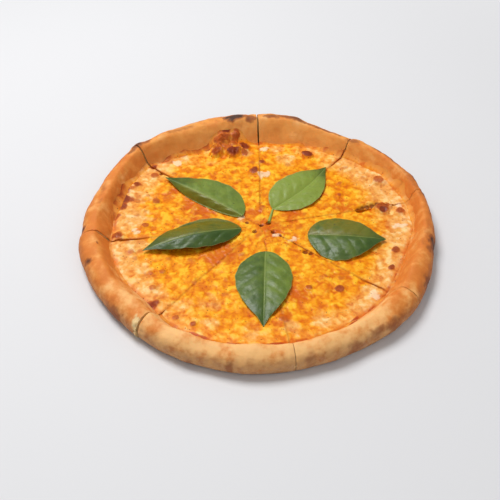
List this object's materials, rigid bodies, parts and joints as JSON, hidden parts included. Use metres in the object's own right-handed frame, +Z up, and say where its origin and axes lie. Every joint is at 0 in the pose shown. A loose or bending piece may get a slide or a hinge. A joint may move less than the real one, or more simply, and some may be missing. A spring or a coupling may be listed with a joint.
{
  "type": "margherita pizza",
  "caption": "Round margherita pizza with a raised browned crust, melted cheese and large basil leaves, cut into slices that lie together.",
  "frame": {"origin": "middle of the flat underside", "axes": "+Z up out of the topping; +Y towards the tall back of the crust; +X to the right"},
  "size_m": [0.2825, 0.2868, 0.025],
  "materials": {
    "crust": "baked dough, dry and matte, pale gold with darker browned and charred spots",
    "topping": "melted cheese over tomato sauce, orange-yellow, softly and unevenly glossy with oil",
    "basil": "fresh leaf, waxy green with paler veins"
  },
  "bodies": {
    "root": {"slice_1": "crust", "cheese_1": "topping", "slice_2": "crust", "cheese_2": "topping", "slice_3": "crust", "cheese_3": "topping", "slice_4": "crust", "cheese_4": "topping", "slice_5": "crust", "cheese_5": "topping", "slice_6": "crust", "cheese_6": "topping", "slice_7": "crust", "cheese_7": "topping", "slice_8": "crust", "cheese_8": "topping", "basil_1": "basil", "basil_2": "basil", "basil_3": "basil", "basil_4": "basil", "basil_5": "basil"}
  },
  "joints": []
}
